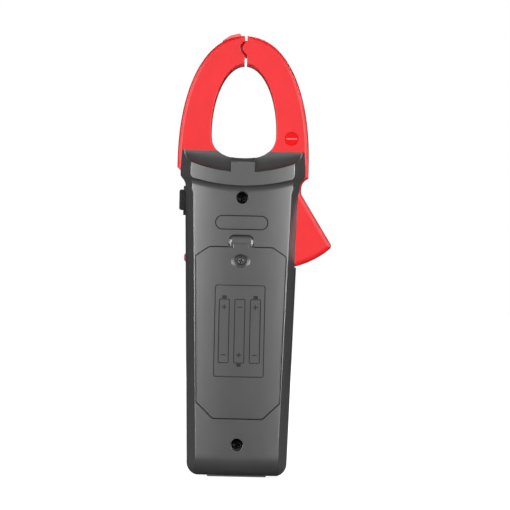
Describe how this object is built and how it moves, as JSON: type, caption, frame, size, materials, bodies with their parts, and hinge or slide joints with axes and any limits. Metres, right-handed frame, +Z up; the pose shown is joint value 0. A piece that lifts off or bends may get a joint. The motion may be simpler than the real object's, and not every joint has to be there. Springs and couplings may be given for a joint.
{
  "type": "clamp meter",
  "caption": "Hand-held clamp meter with sprung opening jaws, side trigger, rotary selector, display, keys and battery bay.",
  "frame": {"origin": "middle of the flat lip at the bottom end, which the meter stands on", "axes": "+X to the right seen from the display side (the trigger is on -X), +Y out of the rear face, +Z up towards the jaws"},
  "size_m": [0.0822, 0.0436, 0.2351],
  "materials": {
    "case_grey": "fine spark texture, satin",
    "front_grey": "fine spark texture, satin",
    "jaw_red": "smooth satin gloss",
    "cap_red": "slightly clear, glossy",
    "pin_red": "glossy",
    "black_steel": "black oxide",
    "steel": "ground",
    "nickel": "nickel plated",
    "brass": "turned",
    "core_iron": "stacked sheet iron",
    "copper_wire": "enamelled wire",
    "foam": "open foam",
    "cell_jacket": "plain printed jacket",
    "black_plastic": "satin",
    "white_plastic": "satin",
    "window_clear": "clear, polished",
    "lcd_grey": "plain display, no digits",
    "strip_rubber": "layered silicone",
    "key_rubber": "soft touch",
    "button_rubber": "soft touch",
    "board_green": "solder mask",
    "led_clear": "diffused"
  },
  "bodies": {
    "case": {"rear_case": "case_grey", "front_case": "front_grey", "case_screws": "black_steel", "battery_cell_1": "cell_jacket", "battery_cell_2": "cell_jacket", "battery_cell_3": "cell_jacket", "battery_springs": "nickel", "battery_plates": "nickel", "fixed_jaw_rear_shell": "jaw_red", "fixed_jaw_front_shell": "jaw_red", "fixed_jaw_core": "core_iron", "fixed_jaw_coil": "copper_wire", "hall_sensor": "black_plastic", "ncv_sensor_cap": "cap_red", "pivot_pin": "steel", "return_spring": "steel", "detent_spring": "steel", "lcd_window": "window_clear", "lcd_glass": "lcd_grey", "lcd_frame": "white_plastic", "backlight_plate": "white_plastic", "contact_strips": "strip_rubber", "key_switches": "nickel", "side_switch": "black_plastic", "main_board": "board_green", "board_chips": "black_plastic", "board_screws": "steel", "buzzer": "black_plastic", "status_led": "led_clear", "socket_sleeve_black": "brass", "socket_sleeve_red": "brass", "socket_collar_black": "black_plastic", "socket_collar_red": "pin_red"},
    "moving_jaw": {"moving_jaw_rear_shell": "jaw_red", "moving_jaw_front_shell": "jaw_red", "moving_jaw_core": "core_iron", "moving_jaw_coil": "copper_wire", "jaw_slotted_pin": "pin_red", "pivot_bush": "brass"},
    "selector": {"selector_knob": "black_plastic", "selector_tab": "pin_red", "selector_rotor": "white_plastic", "selector_wipers": "brass"},
    "door": {"battery_door": "case_grey", "door_screw": "black_steel", "door_pad": "foam"},
    "side_button": {"side_button": "button_rubber"},
    "key_select": {"key_select": "key_rubber"},
    "key_range": {"key_range": "key_rubber"},
    "key_hold": {"key_hold": "key_rubber"},
    "key_zero": {"key_zero": "key_rubber"}
  },
  "joints": [
    {"name": "jaw_open", "type": "hinge", "parent": "case", "child": "moving_jaw", "pos_m": [-0.0165, 0, 0.157], "axis": [0, -1, 0], "range_deg": [0, 24], "stiffness_Nm_per_rad": 0.83, "springref_deg": -17.19, "deforming": ["return_spring"]},
    {"name": "selector_turn", "type": "hinge", "parent": "case", "child": "selector", "pos_m": [0, -0.018, 0.1155], "axis": [0, -1, 0], "range_deg": [0, 180]},
    {"name": "door_tilt", "type": "hinge", "parent": "case", "child": "door", "pos_m": [0, 0.0165, 0.0312], "axis": [-1, 0, 0], "range_deg": [0, 60]},
    {"name": "side_button_press", "type": "slide", "parent": "case", "child": "side_button", "axis": [-1, 0, 0], "range_m": [0, 0.001], "stiffness_N_per_m": 1500, "springref_m": -0.0004},
    {"name": "key_select_press", "type": "slide", "parent": "case", "child": "key_select", "axis": [0, 1, 0], "range_m": [0, 0.0008], "stiffness_N_per_m": 1500, "springref_m": -0.0004},
    {"name": "key_range_press", "type": "slide", "parent": "case", "child": "key_range", "axis": [0, 1, 0], "range_m": [0, 0.0008], "stiffness_N_per_m": 1500, "springref_m": -0.0004},
    {"name": "key_hold_press", "type": "slide", "parent": "case", "child": "key_hold", "axis": [0, 1, 0], "range_m": [0, 0.0008], "stiffness_N_per_m": 1500, "springref_m": -0.0004},
    {"name": "key_zero_press", "type": "slide", "parent": "case", "child": "key_zero", "axis": [0, 1, 0], "range_m": [0, 0.0008], "stiffness_N_per_m": 1500, "springref_m": -0.0004}
  ]
}
